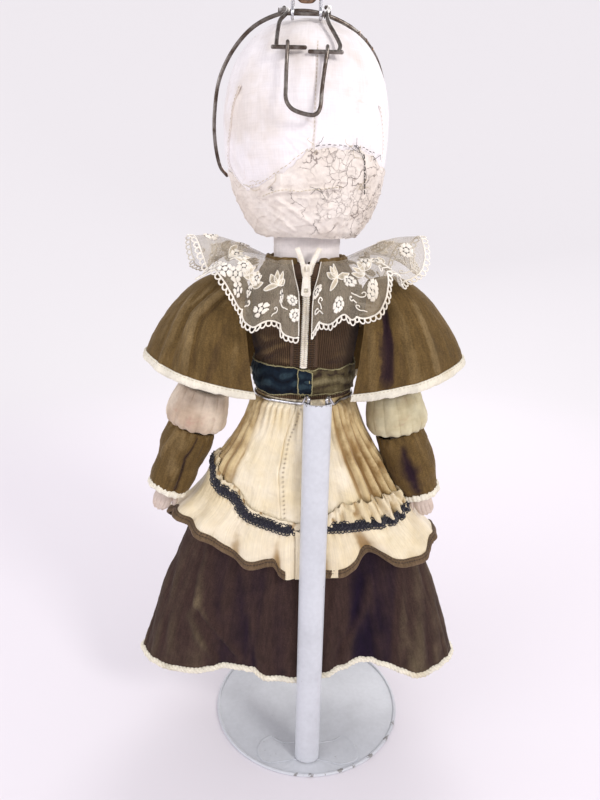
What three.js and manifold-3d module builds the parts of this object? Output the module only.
// Ventriloquist dummy in a Victorian velvet dress, held at the waist by a wire-clamp doll stand.
// Millimetres, +Z up. Origin: centre of the stand base's underside. The dummy faces +Y, its back is towards -Y.
import * as THREE from 'three';
import { mergeVertices } from 'three/addons/utils/BufferGeometryUtils.js';
import Module from 'manifold-3d';

const wasm = await Module();
wasm.setup();

// ---------------------------------------------------------------- driving dimensions
const DUMMY_X = -12, DUMMY_Y = -28;          // dummy's own upright axis, from the stand's centre
const BASE_R = 100, BASE_T = 1.6, BASE_BEAD = 1.6;
const POLE_Y = -81, POLE_W = 24, POLE_D = 9, POLE_WALL = 1.2, POLE_BOTTOM = 3.6, POLE_TOP = 375;
const CLAMP_R = 1.5, CLAMP_Z = 371.4;
const HEAD_X = -3, HEAD_Z = 586, HEAD_TOP = 665, HEAD_DEPTH = 1.09, HEAD_WALL = 4;
const FACE_Y = 14;                           // seam between the back of the head and the face mask
const NECK_R = 28.2, NECK_BOTTOM = 471.2, NOD_Z = 512;
const JAW_Y = 18, JAW_Z = 535, JAW_HALF = 15.5;
const EYE_X = 24, EYE_Z = 590, EYE_R = 11;
const STICK_R = 8, LEVER_Y = 15, LEVER_Z = 402, LEVER_TILT = 18, CORD_Y = 19;
const SHOULDER_X = 66, SHOULDER_Z = 450, SHOULDER_R = 12.5;
const L_ELBOW = [-101, 337], R_ELBOW = [89, 337];
const L_WRIST = [-127, 275], R_WRIST = [113, 275];
const HIP_X = 23, HIP_Z = 262, KNEE_Z = 186, SOLE_Z = 76;
const SASH_Z = [377.4, 402];
const ZIP_X = 0, ZIP_TOP = 487, ZIP_BOTTOM = 403.2, SLIDER_Z = 482;
const HOOP_R = 1.5, LATCH_Y = -67, LATCH_Z = 632, BAIL_Y = -45, BAIL_Z = 658, BAIL_TOP = 707, BAIL_TOP_Y = -36;

// ---------------------------------------------------------------- helpers
function clean(geometry) {
  const g = geometry.clone();
  for (const name of Object.keys(g.attributes)) if (name !== 'position') g.deleteAttribute(name);
  g.clearGroups();
  const m = mergeVertices(g, 1e-4);
  const src = m.index.array, pos = m.attributes.position;
  const keep = [];
  for (let i = 0; i < src.length; i += 3) {
    const [a, b, c] = [src[i], src[i + 1], src[i + 2]];
    if (a !== b && b !== c && a !== c) keep.push(a, b, c);
  }
  let volume = 0;
  const A = new THREE.Vector3(), B = new THREE.Vector3(), C = new THREE.Vector3();
  for (let i = 0; i < keep.length; i += 3) {
    A.fromBufferAttribute(pos, keep[i]); B.fromBufferAttribute(pos, keep[i + 1]); C.fromBufferAttribute(pos, keep[i + 2]);
    volume += A.dot(B.cross(C));
  }
  if (volume < 0) for (let i = 0; i < keep.length; i += 3) [keep[i + 1], keep[i + 2]] = [keep[i + 2], keep[i + 1]];
  m.setIndex(keep);
  return m;
}
function solid(geometry) {
  const m = clean(geometry);
  return new wasm.Manifold(new wasm.Mesh({
    numProp: 3, vertProperties: new Float32Array(m.attributes.position.array), triVerts: new Uint32Array(m.index.array),
  }));
}
function geo(manifold) {
  const mesh = manifold.getMesh();
  const g = new THREE.BufferGeometry();
  g.setAttribute('position', new THREE.BufferAttribute(new Float32Array(mesh.vertProperties), 3));
  g.setIndex(Array.from(mesh.triVerts));
  return g;
}
const cut = (a, ...bs) => geo(bs.reduce((m, b) => m.subtract(solid(b)), solid(a)));
const join = (a, ...bs) => geo(bs.reduce((m, b) => m.add(solid(b)), solid(a)));
const common = (a, b) => geo(solid(a).intersect(solid(b)));

// a profile of [radius, z] points turned about Z; closed = the profile is a ring clear of the axis
function lathe(profile, segments = 24, closed = false) {
  const pts = profile.map(([r, z]) => new THREE.Vector2(Math.max(r, 0), z));
  if (closed) pts.push(pts[0].clone());
  const g = new THREE.LatheGeometry(pts, segments);
  g.rotateX(Math.PI / 2);
  return g;
}
function warp(geometry, fn) {
  const g = geometry.clone(), p = g.attributes.position, v = new THREE.Vector3();
  for (let i = 0; i < p.count; i++) {
    v.fromBufferAttribute(p, i);
    fn(v);
    p.setXYZ(i, v.x, v.y, v.z);
  }
  return g;
}
function box(x0, x1, y0, y1, z0, z1) {
  const g = new THREE.BoxGeometry(x1 - x0, y1 - y0, z1 - z0);
  g.translate((x0 + x1) / 2, (y0 + y1) / 2, (z0 + z1) / 2);
  return g;
}
function rodX(x0, x1, y, z, r, segments = 12) {
  const g = new THREE.CylinderGeometry(r, r, x1 - x0, segments);
  g.rotateZ(Math.PI / 2);
  g.translate((x0 + x1) / 2, y, z);
  return g;
}
function rodZ(x, y, z0, z1, r, segments = 16, r1 = r) {
  const g = new THREE.CylinderGeometry(r1, r, z1 - z0, segments);
  g.rotateX(Math.PI / 2);
  g.translate(x, y, (z0 + z1) / 2);
  return g;
}
function ball(x, y, z, r, w = 16, h = 12) {
  const g = new THREE.SphereGeometry(r, w, h);
  g.rotateX(Math.PI / 2);
  g.translate(x, y, z);
  return g;
}
function tube(points, r, sides = 8, steps = 40, tension = 0.5) {
  const curve = new THREE.CatmullRomCurve3(points.map((p) => new THREE.Vector3(...p)), false, 'catmullrom', tension);
  return tubeAlong(curve, r, sides, steps);
}
function tubeAlong(curve, r, sides, steps) {
  const shape = new THREE.Shape();
  for (let i = 0; i < sides; i++) {
    const a = (2 * Math.PI * i) / sides;
    if (i === 0) shape.moveTo(r * Math.cos(a), r * Math.sin(a)); else shape.lineTo(r * Math.cos(a), r * Math.sin(a));
  }
  shape.closePath();
  return new THREE.ExtrudeGeometry(shape, { steps, bevelEnabled: false, extrudePath: curve });
}
// piecewise linear through [[z, value], ...]
function along(table, z) {
  if (z <= table[0][0]) return table[0][1];
  for (let i = 1; i < table.length; i++) {
    if (z <= table[i][0]) {
      const [z0, v0] = table[i - 1], [z1, v1] = table[i];
      return v0 + ((v1 - v0) * (z - z0)) / (z1 - z0);
    }
  }
  return table[table.length - 1][1];
}
// a shell that follows an oval body form: rings of [z, outer offset, inner offset]
function formShell(form, rings, segments = 28) {
  const outer = rings.map(([z, o]) => [100 + o, z]);
  const inner = rings.map(([z, , i]) => [100 + i, z]).reverse();
  const g = lathe([...outer, ...inner], segments, true);
  return warp(g, (v) => {
    const r = Math.hypot(v.x, v.y), off = r - 100, c = v.x / r, s = v.y / r;
    v.x = c * (along(form.half, v.z) + off);
    v.y = s * ((s < 0 ? along(form.back, v.z) : along(form.front, v.z)) + off);
  });
}

// ---------------------------------------------------------------- materials
const paint = (color, roughness = 0.8, metalness = 0) => new THREE.MeshStandardMaterial({ color, roughness, metalness });
const M = {
  whitePaint: paint(0xe4e3e4, 0.35, 0.1), chrome: paint(0xb9b9bd, 0.15, 1), steel: paint(0x6a6760, 0.35, 0.9),
  copperSteel: paint(0x7c6a58, 0.3, 0.9), muslin: paint(0xece5e2, 0.9), patch: paint(0xcfc4b6, 0.95),
  face: paint(0xeed8c8, 0.45), lips: paint(0xb8636a, 0.4), eye: paint(0x3f5f78, 0.1), velvet: paint(0x5c462b, 0.95),
  velvetDark: paint(0x33221d, 0.95), teal: paint(0x14303a, 0.9), cream: paint(0xe2d5b8, 0.75), lace: paint(0xd8d0bf, 0.9),
  puff: paint(0xbfb199, 0.85), wood: paint(0xb88b5a, 0.6), board: paint(0xa98c68, 0.9), skin: paint(0xc8ab9c, 0.85),
  stocking: paint(0xe5dccd, 0.9), boot: paint(0x2b1d18, 0.45), zip: paint(0xeae6dc, 0.4), cord: paint(0x2a2724, 0.9),
};

const root = new THREE.Group();
const dummy = new THREE.Group();
dummy.position.set(DUMMY_X, DUMMY_Y, 0);
root.add(dummy);
function add(parent, name, geometry, material) {
  const mesh = new THREE.Mesh(clean(geometry), material);
  mesh.name = name;
  parent.add(mesh);
  return mesh;
}

// ================================================================ STAND
// round plate with a rolled bead at its edge
{
  const bead = [];
  for (let i = 0; i <= 4; i++) {
    const a = -Math.PI / 2 + (Math.PI * i) / 4;
    bead.push([BASE_R - BASE_BEAD + BASE_BEAD * Math.cos(a), BASE_BEAD + BASE_BEAD * Math.sin(a)]);
  }
  add(root, 'stand_base', lathe([[0, 0], ...bead, [BASE_R - 2 * BASE_BEAD, BASE_T], [0, BASE_T]], 40), M.whitePaint);
}
// butterfly-shaped pressing that holds the foot of the pole
{
  const s = new THREE.Shape();
  s.moveTo(-13, -14); s.lineTo(13, -14); s.lineTo(30, -9); s.quadraticCurveTo(40, 0, 34, 10); s.quadraticCurveTo(26, 16, 16, 12);
  s.lineTo(0, 9); s.lineTo(-16, 12); s.quadraticCurveTo(-26, 16, -34, 10); s.quadraticCurveTo(-40, 0, -30, -9); s.closePath();
  const g = new THREE.ExtrudeGeometry(s, { depth: 1.2, bevelEnabled: false, curveSegments: 4 });
  g.translate(0, POLE_Y + 4, BASE_T + 0.35);
  add(root, 'pole_socket', common(g, box(-60, 60, POLE_Y - 15, POLE_Y + 40, 0, 10)), M.whitePaint);
}
// half-round channel: round back, two inward lips at the front
{
  const n = 8, a = POLE_W / 2, b = POLE_D, out = [], inn = [];
  for (let i = 0; i <= n; i++) {
    const t = Math.PI + (Math.PI * i) / n;
    out.push([a * Math.cos(t), 4 + b * Math.sin(t)]);
    inn.push([(a - POLE_WALL) * Math.cos(t), 4 + (b - POLE_WALL) * Math.sin(t)]);
  }
  const s = new THREE.Shape();
  s.moveTo(...out[0]);
  out.slice(1).forEach((p) => s.lineTo(...p));
  s.lineTo(a, 4 + POLE_WALL + 1.2); s.lineTo(a - 4.2, 4 + POLE_WALL + 1.2); s.lineTo(a - 4.2, 4 + 1.2); s.lineTo(a - POLE_WALL, 4 + 1.2);
  inn.reverse().forEach((p) => s.lineTo(...p));
  s.lineTo(-a + POLE_WALL, 4 + 1.2); s.lineTo(-a + 4.2, 4 + 1.2); s.lineTo(-a + 4.2, 4 + POLE_WALL + 1.2); s.lineTo(-a, 4 + POLE_WALL + 1.2);
  s.closePath();
  const g = new THREE.ExtrudeGeometry(s, { depth: POLE_TOP - POLE_BOTTOM, bevelEnabled: false });
  g.translate(0, POLE_Y, POLE_BOTTOM);
  add(root, 'stand_pole', g, M.whitePaint);
}
// spring-wire waist clamp: two rods slide in the channel, two arms hug the waist and end in balls at the front
{
  const rx = 7.4, ry = POLE_Y + 2.5;
  const oval = (deg) => {
    const a = (deg * Math.PI) / 180;
    return [DUMMY_X + 43.6 * Math.cos(a), DUMMY_Y + (Math.sin(a) < 0 ? 38.4 : 39.6) * Math.sin(a), CLAMP_Z];
  };
  const right = [[rx, ry, 286], [rx, ry, 330], [rx, ry, 374], [rx + 0.4, ry + 0.8, 378.6],
    [rx + 2, ry + 4.4, 379.6], [rx + 3.4, ry + 7, 376], [rx + 6.6, ry + 10.8, 371.4],
    oval(-44), oval(-28), oval(-10), oval(10), oval(30), oval(50), oval(66), oval(75)];
  const left = [[-rx, ry, 286], [-rx, ry, 330], [-rx, ry, 374], [-rx - 0.4, ry + 0.8, 378.6],
    [-rx - 2, ry + 4.4, 379.6], [-rx - 3.6, ry + 7.2, 375.6], [-rx - 7.6, ry + 10.6, 371.4],
    oval(-130), oval(-148), oval(-168), oval(-190), oval(-210), oval(-230), oval(-246), oval(-255)];
  const bridge = rodX(-rx - 0.2, rx + 0.2, ry, 287.5, CLAMP_R, 8);
  const tipR = oval(76), tipL = oval(-256);
  add(root, 'waist_clamp', join(tube(right, CLAMP_R, 6, 23), tube(left, CLAMP_R, 6, 23), bridge,
    ball(...tipR, 2.6, 8, 6), ball(...tipL, 2.6, 8, 6)), M.chrome);
}

// ================================================================ TORSO
const BODY = {
  half: [[280, 45], [300, 45], [330, 42.5], [372, 40], [400, 41], [430, 45], [455, 47], [468, 44], [480, 37], [488, 31.5]],
  back: [[280, 36], [372, 36], [400, 37], [440, 37.5], [466, 37], [480, 34.5], [488, 31]],
  front: [[280, 37], [330, 36], [372, 37], [400, 40], [430, 44], [450, 44], [468, 40], [480, 35], [488, 31.5]],
};
{
  const shell = formShell(BODY, [[287.5, 0, -4], [330, 0, -4], [372, 0, -4], [400, 0, -4], [430, 0, -4], [461, 0, -4]], 18);
  const hand = box(-24, 24, -60, -20, 304, 430);       // opening for the operator's hand
  const bolts = [rodX(-60, -30, 0, SHOULDER_Z, 2.4, 8), rodX(30, 60, 0, SHOULDER_Z, 2.4, 8)];
  add(dummy, 'torso_shell', cut(shell, hand, ...bolts), M.board);
}
// wooden board closing the shoulders, with a hole for the head stick and cord
add(dummy, 'shoulder_board', cut(
  warp(lathe([[0, 461.4], [100, 461.4], [100, 466], [95, 470.6], [0, 470.6]], 20), (v) => {
    const r = Math.hypot(v.x, v.y) / 100;
    if (r > 0) { v.x *= 0.438; v.y *= v.y < 0 ? 0.362 : 0.395; }
  }), rodZ(0, 0, 455, 475, 21.4, 16)), M.wood);
add(dummy, 'hip_board', warp(lathe([[0, 280], [98, 280], [100, 282], [100, 287.1], [0, 287.1]], 20), (v) => {
  v.x *= 0.44; v.y *= v.y < 0 ? 0.352 : 0.36;
}), M.wood);
add(dummy, 'hip_bracket', cut(box(-6, 6, -9, 9, 255, 279.6), rodX(-20, 20, 0, HIP_Z, 2.35, 12)), M.wood);
add(dummy, 'hip_rod', join(rodX(-41.5, 41.5, 0, HIP_Z, 2, 12), rodX(-42.5, -40.4, 0, HIP_Z, 4.2, 12), rodX(40.4, 42.5, 0, HIP_Z, 4.2, 12)), M.steel);
{
  const bolt = (s) => join(rodX(Math.min(s * 40.5, s * 76), Math.max(s * 40.5, s * 76), 0, SHOULDER_Z, 1.9, 10),
    rodX(Math.min(s * 38, s * 40.6), Math.max(s * 38, s * 40.6), 0, SHOULDER_Z, 4.4, 6));
  add(dummy, 'left_shoulder_bolt', bolt(-1), M.steel);
  add(dummy, 'right_shoulder_bolt', bolt(1), M.steel);
}

// ---------------------------------------------------------------- dress
{
  const shell = formShell(BODY, [[374.2, 3.2, 0.9], [400, 3.2, 0.9], [430, 3.2, 0.9], [455, 3.2, 0.9], [468, 3.2, 1.2], [480, 3.2, 0.9], [488, 2.4, 0.6]], 18);
  const arm = [rodX(-80, -35, 0, SHOULDER_Z, 17, 12), rodX(35, 80, 0, SHOULDER_Z, 17, 12)];
  const slit = box(ZIP_X - 1.1, ZIP_X + 1.1, -60, -25, 403, 500);
  add(dummy, 'bodice', cut(shell, ...arm, slit), M.velvetDark);
}
add(dummy, 'sash', formShell(BODY, [[SASH_Z[0], 5.4, 3.7], [389, 6.2, 3.7], [SASH_Z[1], 5.6, 3.7]], 24), M.teal);
// zipper: tapes, chain, slider and pull down the centre of the back
const ZIP_Y = -(37.5 + 3.2) - 0.5;
const zipBack = (z) => -(along(BODY.back, z) + 3.2) - 0.55;
function strip(x0, x1, thick, lift, z0, z1) {
  const n = 8, g = new THREE.BoxGeometry(x1 - x0, thick, z1 - z0, 1, 1, n);
  g.translate((x0 + x1) / 2, 0, (z0 + z1) / 2);
  return warp(g, (v) => { v.y += zipBack(v.z) - lift - thick / 2; });
}
add(dummy, 'left_zipper_tape', strip(-7.5, -1.9, 0.8, 0, ZIP_BOTTOM, ZIP_TOP), M.zip);
add(dummy, 'right_zipper_tape', strip(1.9, 7.5, 0.8, 0, ZIP_BOTTOM, ZIP_TOP), M.zip);
add(dummy, 'zipper_chain', strip(-1.5, 1.5, 1.5, 0, ZIP_BOTTOM, SLIDER_Z - 6.4), M.zip);
// slider: two plates round the chain line, outside the tapes
{
  const y = ZIP_Y - 2.2;
  add(dummy, 'zipper_slider', join(box(-4.4, 4.4, y - 2.0, y - 0.2, SLIDER_Z - 5.5, SLIDER_Z + 5.5), box(-1.5, 1.5, y - 7.2, y - 1.9, SLIDER_Z + 1.2, SLIDER_Z + 3.2)), M.zip);
  const pull = cut(box(-3.7, 3.7, y - 6.6, y - 5.0, SLIDER_Z - 19, SLIDER_Z + 5.4), box(-1.9, 1.9, y - 12, y, SLIDER_Z - 16.5, SLIDER_Z - 12.5),
    box(-2.2, 2.2, y - 12, y, SLIDER_Z + 0.1, SLIDER_Z + 4.2));
  add(dummy, 'zipper_pull', pull, M.zip);
}
// lace collar: one ruffle that stands out over the shoulders and falls over the upper back and chest, open at the zipper
{
  const g = lathe([[0, 1], [0.3, 1], [0.65, 1], [1, 1], [1, 0], [0.65, 0], [0.3, 0], [0, 0]].map(([t, k]) => [100 + t * 50, k * 10]), 28, true);
  const collar = warp(g, (v) => {
    const r = Math.hypot(v.x, v.y), t = (r - 100) / 50, c = v.x / r, s = v.y / r, side = c * c;
    const R = 36.5 + t * (54 * side + (s < 0 ? 18 : 20) * (1 - side));
    const top = 491.5 - t * (side * 4 + (1 - side) * 50) - (1 - side) * 2.2;
    v.x = c * R;
    v.y = s * R;
    v.z = top + (v.z > 5 ? 1.3 : -1.3);
  });
  add(dummy, 'lace_collar', cut(collar, box(-8.6, 8.6, -80, -20, 420, 520)), M.lace);
}
const SKIRT = {
  half: [[88, 160], [150, 140], [200, 121], [228, 110], [250, 98], [265, 86], [283, 75.5], [300, 66.5], [340, 51.5], [367, 43]],
  back: [[88, 42.8], [150, 42.4], [205, 40], [300, 39.4], [367, 38.2]],
  front: [[88, 108], [200, 88], [300, 60], [340, 49], [367, 40]],
};
add(dummy, 'skirt', formShell(SKIRT, [[88, 0, -2], [150, 0, -2], [200, 0, -2], [250, 0, -2], [283, 0, -2], [300, 0, -1.9], [340, 0, -1.6], [366, 0, -1.2]], 24), M.velvetDark);
const OVER = {
  half: [[216, 134], [228, 127], [240, 115], [250, 105], [265, 92], [283, 80], [300, 71], [320, 63], [340, 55], [367, 45.4]],
  back: [[216, 43.2], [300, 42.6], [367, 40.6]],
  front: [[216, 96], [250, 86], [283, 76], [320, 62], [340, 54], [367, 42.6]],
};
add(dummy, 'overskirt', formShell(OVER, [[216, 0, -2], [228, 0, -2], [250, 0, -2], [265, 0, -2], [283, 0, -2], [300, 0, -2], [340, 0, -1.8], [367, 0, -1.5]], 24), M.cream);

// ================================================================ ARMS
function arm(side, S, E, W, tip) {
  const x0 = S[0];
  const upper = new THREE.Vector3(E[0] - x0, 0, E[1] - SHOULDER_Z), len = upper.length();
  const tilt = Math.atan2(upper.x, -upper.z);
  // local frame: origin at the joint, -Z along the limb
  const place = (g, x, z, angle) => { const h = g.clone(); h.rotateY(-angle); h.translate(x, 0, z); return h; };
  const core = lathe([[0, -(len - 24.6)], [10.6, -(len - 24.6)], [12, -(len - 32)], [12.6, -40], [13, -14], [12, -4], [0, -4]], 12);
  const armSolid = join(place(core, x0, SHOULDER_Z, tilt), ball(x0, 0, SHOULDER_Z, SHOULDER_R, 12, 8));
  add(dummy, `${side}_upper_arm`, cut(armSolid, rodX(x0 - 15, x0 + 15, 0, SHOULDER_Z, 2.6, 10)), M.muslin);
  // gathered white puff round the elbow, hollow underneath
  const puff = lathe([[22.6, 0], [26, 0], [28, 11], [25.5, 25], [15.2, 33], [13.9, 33], [13.9, 22], [18.6, 13.8]], 16, true);
  add(dummy, `${side}_puff_sleeve`, place(puff, E[0], E[1], tilt), M.puff);
  // forearm with its mitten hand
  const fore = new THREE.Vector3(W[0] - E[0], 0, W[1] - E[1]), flen = fore.length(), ftilt = Math.atan2(fore.x, -fore.z);
  const tl = Math.hypot(tip[0] - E[0], tip[1] - E[1]);
  const forearm = warp(lathe([[0, 8.6], [5, 7.4], [8, 4], [9, 0], [9, -flen + 12], [7.4, -flen - 2], [8.6, -flen - 8], [8, -tl + 8], [5, -tl + 1.6], [0, -tl]], 12), (v) => {
    if (v.z < -flen + 2) v.y *= 0.72;
  });
  add(dummy, `${side}_forearm`, place(forearm, E[0], E[1], ftilt), M.skin);
  const sleeve = lathe([[19.5, -23], [23.6, -34], [22.4, -46], [18.4, -60], [16.4, -flen - 1], [10.2, -flen - 1], [10.2, -23]], 14, true);
  add(dummy, `${side}_lower_sleeve`, place(sleeve, E[0], E[1], ftilt), M.velvet);
  // flared cape sleeve over the upper arm
  const sgn = Math.sign(x0);
  const flare = lathe([[24, 17], [38, 2], [50, -22], [58, -50], [60, -66], [57.6, -66], [55.6, -50], [47.6, -22], [35.6, 2], [22, 14.4]], 22, true);
  const placed = warp(place(flare, x0 - sgn * 2, SHOULDER_Z, Math.atan2(sgn * 21, 74)), (v) => { v.y *= 0.86; });
  const inner = Math.min(0, sgn * 400) , outer = Math.max(0, sgn * 400);
  const keep = sgn > 0 ? box(57.4, 400, -200, 200, 300, 520) : box(-400, -57.4, -200, 200, 300, 520);
  add(dummy, `${side}_cape_sleeve`, common(placed, keep), M.velvet);
}
arm('left', [-SHOULDER_X, SHOULDER_Z], L_ELBOW, L_WRIST, [-140, 251]);
arm('right', [SHOULDER_X, SHOULDER_Z], R_ELBOW, R_WRIST, [124, 251]);

// ================================================================ LEGS
function leg(side, x) {
  const thigh = join(ball(x, 0, HIP_Z, 15, 12, 8), warp(lathe([[0, KNEE_Z + 15.2], [12.5, KNEE_Z + 15.2], [14.5, KNEE_Z + 24], [15.6, HIP_Z - 30], [14.8, HIP_Z], [0, HIP_Z]], 12), (v) => { v.x += x; }));
  add(dummy, `${side}_thigh`, cut(thigh, rodX(x - 30, x + 30, 0, HIP_Z, 2.6, 12)), M.muslin);
  const shin = join(ball(x, 0, KNEE_Z, 13.6, 12, 8), warp(lathe([[0, SOLE_Z + 45.6], [10.4, SOLE_Z + 45.6], [10.6, SOLE_Z + 62], [13.6, SOLE_Z + 84], [13, KNEE_Z], [0, KNEE_Z]], 12), (v) => { v.x += x; }));
  add(dummy, `${side}_shin`, shin, M.stocking);
  const ankle = lathe([[0, SOLE_Z + 4], [14.2, SOLE_Z + 4], [13.2, SOLE_Z + 27], [12.4, SOLE_Z + 45], [0, SOLE_Z + 45]], 12);
  const foot = warp(new THREE.SphereGeometry(1, 12, 6), (v) => { v.x *= 15; v.y = v.y * 31 + 14; v.z = v.z * 17 + SOLE_Z + 9; });
  const sole = common(foot, box(-30, 30, -40, 60, SOLE_Z, SOLE_Z + 53));
  const boot = geo(solid(ankle).add(solid(sole)));
  boot.translate(x, 0, 0);
  add(dummy, `${side}_boot`, boot, M.boot);
}
leg('left', -HIP_X);
leg('right', HIP_X);

// ================================================================ NECK AND CONTROLS
{
  const arc = [];
  for (let i = 0; i <= 5; i++) { const a = (Math.PI / 2) * (i / 5); arc.push([NECK_R * Math.cos(a), NOD_Z + NECK_R * Math.sin(a) * 0.86]); }
  arc[5][0] = 0;
  const neck = lathe([[0, NECK_BOTTOM], [NECK_R - 0.6, NECK_BOTTOM], [NECK_R, NECK_BOTTOM + 1.5], ...arc], 18);
  add(dummy, 'neck', cut(neck, rodZ(0, 0, 460, 560, STICK_R + 0.45, 14), rodZ(0, CORD_Y, 460, 560, 1.5, 6)), M.muslin);
}
add(dummy, 'head_stick', rodZ(0, 0, 318, 532, STICK_R, 14), M.wood);
add(dummy, 'lever_bracket', cut(join(box(-6, -2.9, 8.4, 20, LEVER_Z - 7, LEVER_Z + 7), box(2.9, 6, 8.4, 20, LEVER_Z - 7, LEVER_Z + 7), box(-6, 6, 8.4, 10.4, LEVER_Z - 7, LEVER_Z + 7)),
  rodX(-9, 9, LEVER_Y, LEVER_Z, 1.75, 10)), M.wood);
add(dummy, 'lever_pin', rodX(-7, 7, LEVER_Y, LEVER_Z, 1.4, 10), M.steel);
{
  const s = new THREE.Shape();   // drawn in Y-Z, pivot at 0,0
  s.moveTo(-3.4, 2); s.lineTo(-1, 5.6); s.lineTo(3.4, 5.4); s.lineTo(4.6, 0); s.lineTo(3.8, -20); s.lineTo(5, -28); s.lineTo(1.5, -31); s.lineTo(-2.4, -28); s.lineTo(-3, -16); s.closePath();
  const g = new THREE.ExtrudeGeometry(s, { depth: 4.6, bevelEnabled: false });
  g.applyMatrix4(new THREE.Matrix4().makeBasis(new THREE.Vector3(0, 1, 0), new THREE.Vector3(0, 0, 1), new THREE.Vector3(1, 0, 0)));
  g.rotateX((LEVER_TILT * Math.PI) / 180);
  g.translate(-2.3, LEVER_Y, LEVER_Z);
  add(dummy, 'mouth_lever', cut(g, rodX(-9, 9, LEVER_Y, LEVER_Z, 1.8, 10)), M.wood);
}
add(dummy, 'pull_cord', tube([[0, CORD_Y, LEVER_Z + 7.6], [0, CORD_Y, 460], [0, CORD_Y, 512], [0, CORD_Y + 0.3, 531], [0, 27, 538.6], [0, 38.4, 541.4]], 0.8, 6, 14), M.cord);

// ================================================================ HEAD
const HEAD_PROFILE = [[37.5, 507.6], [44, 513], [53.5, 527], [61, 549], [65.4, 574], [66, 595], [61.4, 623], [50, 645], [31, 660], [10, HEAD_TOP], [0, HEAD_TOP]];
const headForm = (g) => warp(g, (v) => { v.y *= HEAD_DEPTH; v.x += HEAD_X * Math.min(1, Math.max(0, (v.z - 520) / 50)); });
function headSolid(offset) {
  // moves every profile point out along its own normal by offset
  const pts = HEAD_PROFILE.map(([r, z], i, all) => {
    const a = all[Math.max(0, i - 1)], b = all[Math.min(all.length - 1, i + 1)];
    const dr = b[0] - a[0], dz = b[1] - a[1], l = Math.hypot(dr, dz);
    return [Math.max(0, r + (offset * dz) / l), z - (offset * dr) / l];
  });
  pts[pts.length - 1][0] = 0;
  return headForm(lathe([[0, pts[0][1]], ...pts], 20));
}
const socket = ball(0, 0, NOD_Z, NECK_R + 2.6, 14, 8);
const mouthOfNeck = rodZ(0, 0, 480, NOD_Z, 38, 18, 33.6);
const outerHead = headSolid(-1.3), innerHead = headSolid(-1.3 - HEAD_WALL);
{
  const ring = solid(outerHead).subtract(solid(innerHead)).subtract(solid(socket)).subtract(solid(mouthOfNeck));
  // papier-mache back of the head
  add(dummy, 'head_shell', geo(ring.intersect(solid(box(-200, 200, -200, FACE_Y - 0.2, 400, 800)))), M.board);
  // stretched cotton cover over it
  const cover = solid(headSolid(0)).subtract(solid(headSolid(-0.95))).subtract(solid(mouthOfNeck)).intersect(solid(box(-200, 200, -200, FACE_Y - 0.2, 400, 800)));
  add(dummy, 'head_cover', geo(cover), M.muslin);
  // cloth patch sewn over the nape
  const patch = solid(headSolid(1.5)).subtract(solid(headSolid(0.4))).subtract(solid(mouthOfNeck)).intersect(solid(box(-200, 200, -200, -16, 500, 560)));
  add(dummy, 'nape_patch', geo(patch), M.patch);
  // face mask with eye holes, nose and the slot the jaw moves in
  const faceBox = solid(box(-200, 200, FACE_Y + 0.2, 200, 400, 800));
  const nose = warp(new THREE.SphereGeometry(1, 10, 8), (v) => { const k = v.z > 0 ? 15 : 7; v.x *= 6; v.y = v.y * 9 + 72; v.z = v.z * k + 569; });
  let face = solid(headSolid(0)).subtract(solid(innerHead)).subtract(solid(socket)).subtract(solid(mouthOfNeck));
  face = face.add(solid(nose).subtract(solid(innerHead))).intersect(faceBox);
  const eyeY = 54.5;
  for (const sx of [-1, 1]) face = face.subtract(solid(ball(HEAD_X + sx * EYE_X, eyeY, EYE_Z, EYE_R + 0.5, 12, 8)));
  const slot = box(-JAW_HALF - 0.6, JAW_HALF + 0.6, FACE_Y, 120, 490, 549);
  const jawBlank = face.intersect(solid(box(-JAW_HALF, JAW_HALF, 37, 120, 490, 548.2)));
  face = face.subtract(solid(slot));
  add(dummy, 'face_mask', geo(face), M.face);
  for (const [n, sx] of [['left', -1], ['right', 1]]) add(dummy, `${n}_eye`, ball(HEAD_X + sx * EYE_X, eyeY, EYE_Z, EYE_R, 12, 8), M.eye);
  // jaw: chin front, mouth floor and two arms back to the pivot pin
  const armL = box(-JAW_HALF, -JAW_HALF + 3.4, JAW_Y - 4, 56, JAW_Z - 4, JAW_Z + 4), armR = box(JAW_HALF - 3.4, JAW_HALF, JAW_Y - 4, 56, JAW_Z - 4, JAW_Z + 4);
  const floor = box(-JAW_HALF, JAW_HALF, 40, 62, 543, 546.5);
  const tie = box(-JAW_HALF, JAW_HALF, 40, 43, JAW_Z - 4, 546.5);
  const trim = solid(headSolid(-1.0));
  let jaw = solid(armL).add(solid(armR)).add(solid(floor)).add(solid(tie)).intersect(trim).add(jawBlank);
  jaw = jaw.subtract(solid(rodX(-40, 40, JAW_Y, JAW_Z, 2.1, 12))).subtract(solid(ball(0, 0, NOD_Z, NECK_R + 3.8, 18, 12)));
  add(dummy, 'jaw', geo(jaw), M.face);
}
add(dummy, 'jaw_pin', rodX(-24, 24, JAW_Y, JAW_Z, 1.5, 10), M.steel);
{
  const block = (s) => cut(box(Math.min(s * 16.6, s * 22.6), Math.max(s * 16.6, s * 22.6), JAW_Y - 5, JAW_Y + 5, JAW_Z - 7, JAW_Z + 7), rodX(-40, 40, JAW_Y, JAW_Z, 1.85, 10));
  add(dummy, 'left_jaw_bracket', block(-1), M.wood);
  add(dummy, 'right_jaw_bracket', block(1), M.wood);
}
{
  const turns = 3, pts = [];
  for (let i = 0; i <= turns * 8; i++) { const a = (i / 8) * 2 * Math.PI; pts.push([2.6 * Math.cos(a), JAW_Y + 14 + 2.6 * Math.sin(a), 549.5 + (i / (turns * 8)) * 12]); }
  add(dummy, 'jaw_spring', tube(pts, 0.45, 4, turns * 7), M.steel);
}

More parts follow.
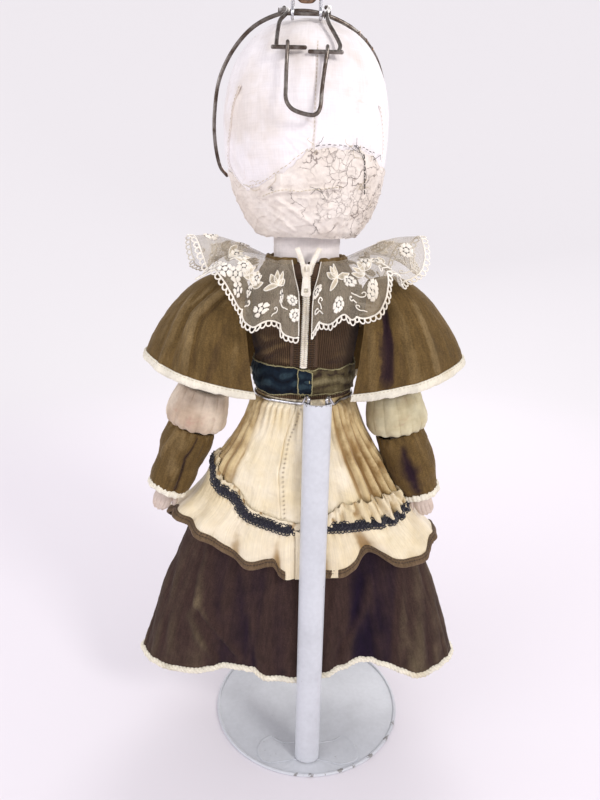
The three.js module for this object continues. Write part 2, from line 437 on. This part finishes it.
// ================================================================ WIRE HEAD HOOP AND ITS LATCH
const onHead = (x, z, gap, ysign = -1) => {   // y of a point gap outside the head at that x and z
  let r = 0;
  const prof = HEAD_PROFILE;
  for (let i = 1; i < prof.length; i++) {
    const [r0, z0] = prof[i - 1], [r1, z1] = prof[i];
    if (z >= z0 && z <= z1) { r = r0 + ((r1 - r0) * (z - z0)) / (z1 - z0 || 1); break; }
  }
  const u = x - HEAD_X, q = Math.max(0, r * r - u * u);
  return ysign * (Math.sqrt(q) * HEAD_DEPTH + gap);
};
{
  const pts = [[-70, 22, 556], [-74.6, 12, 563], [-76.8, 2, 580], [-76.2, -3, 600], [-71.5, -7, 624], [-60, -10, 644.5], [-44, -12, 660], [-24, -13, 668.6], [-4, -12, 671],
    [16, -8, 668], [35.4, -1, 660.4], [51, 8, 646], [60, 16, 625], [62.6, 23, 600], [62.4, 28, 578], [58, 33, 560], [52, 40, 552]];
  add(dummy, 'head_hoop', tube(pts, HOOP_R, 6, 32), M.steel);
}
// a ring that stands across X, such as a wire eye round a pin
const eyeX = (x, y, z, R, r, w = 8) => { const g = new THREE.TorusGeometry(R, r, 4, w); g.rotateY(Math.PI / 2); g.translate(x, y, z); return g; };
{
  // two bent links run from the hoop down to the latch pins at the back of the head, with a cross wire between them
  const y = LATCH_Y;
  const lp = [[-21, -17.2, 671.4], [-22.6, -20.5, 668.6], [-21.4, -27, 667], [-17.8, -36, 664.5], [-18.6, -45, 659.6], [-22.6, -51, 653.6], [-23.8, -57.4, 646], [-24.2, -63, 639.4], [-24.4, -66.6, 634]];
  const rp = [[10, -13.6, 673.2], [12.6, -19, 671.6], [12.2, -27, 669], [10.8, -37, 664], [10, -45, 659.6], [11.4, -51.4, 652.6], [16, -58, 643.4], [19.2, -63.6, 636], [18.2, -67, 631.2]];
  add(dummy, 'latch_links', join(tube(lp, 1.4, 6, 17), tube(rp, 1.4, 6, 17), rodX(-27, -4.6, y, LATCH_Z + 1.2, 1.35, 8), rodX(-1.6, 20.6, y, LATCH_Z - 1.2, 1.35, 8),
    rodX(-18.6, 10.6, BAIL_Y, BAIL_Z + 1.6, 1.2, 8)), M.steel);
}
{
  // U-shaped pull lever: an eye at each end rides on a latch pin
  const u = [[-16.6, LATCH_Y - 3.3, LATCH_Z + 1], [-17, LATCH_Y - 5.4, 622], [-17.2, LATCH_Y - 9.6, 608], [-16.8, LATCH_Y - 12.8, 598.5], [-12.5, LATCH_Y - 14, 592.6], [-4, LATCH_Y - 14.4, 589.6],
    [3, LATCH_Y - 14, 589.4], [6.4, LATCH_Y - 13, 594], [7.4, LATCH_Y - 9.6, 606], [9, LATCH_Y - 5.4, 620], [10.6, LATCH_Y - 3.3, LATCH_Z - 1.4]];
  const uPts = u;
  add(dummy, 'latch_lever', join(tube(uPts, 1.4, 6, 18), eyeX(-16.6, LATCH_Y, LATCH_Z + 1.2, 3.3, 1.3), eyeX(10.6, LATCH_Y, LATCH_Z - 1.2, 3.3, 1.3)), M.steel);
}
{
  // long bail standing up over the crown on the cross wire, and the shorter loop that hangs from its top bar
  const z0 = BAIL_Z + 1.6, y0 = BAIL_Y, z1 = BAIL_TOP, y1 = BAIL_TOP_Y, L = -14.2, R = 5.6, l = 3.1;
  const d = Math.hypot(y1 - y0, z1 - z0), uy = (y1 - y0) / d, uz = (z1 - z0) / d;
  const side = (x) => tube([[x, y0 + uy * l, z0 + uz * l], [x, y1, z1]], 1.3, 6, 1);
  add(dummy, 'draw_bail', join(side(L), side(R), rodX(L - 1.3, R + 1.3, y1, z1, 1.3, 8), eyeX(L, y0, z0, l, 1.2), eyeX(R, y0, z0, l, 1.2)), M.chrome);
  const a = L + 4.2, b = R - 4.2, low = 670;
  const drop = (x) => tube([[x, y1, z1 - l], [x, y1, low]], 1.2, 6, 1);
  add(dummy, 'inner_bail', join(drop(a), drop(b), rodX(a - 1.2, b + 1.2, y1, low, 1.2, 8), eyeX(a, y1, z1, l, 1.2), eyeX(b, y1, z1, l, 1.2)), M.copperSteel);
}

export default root;
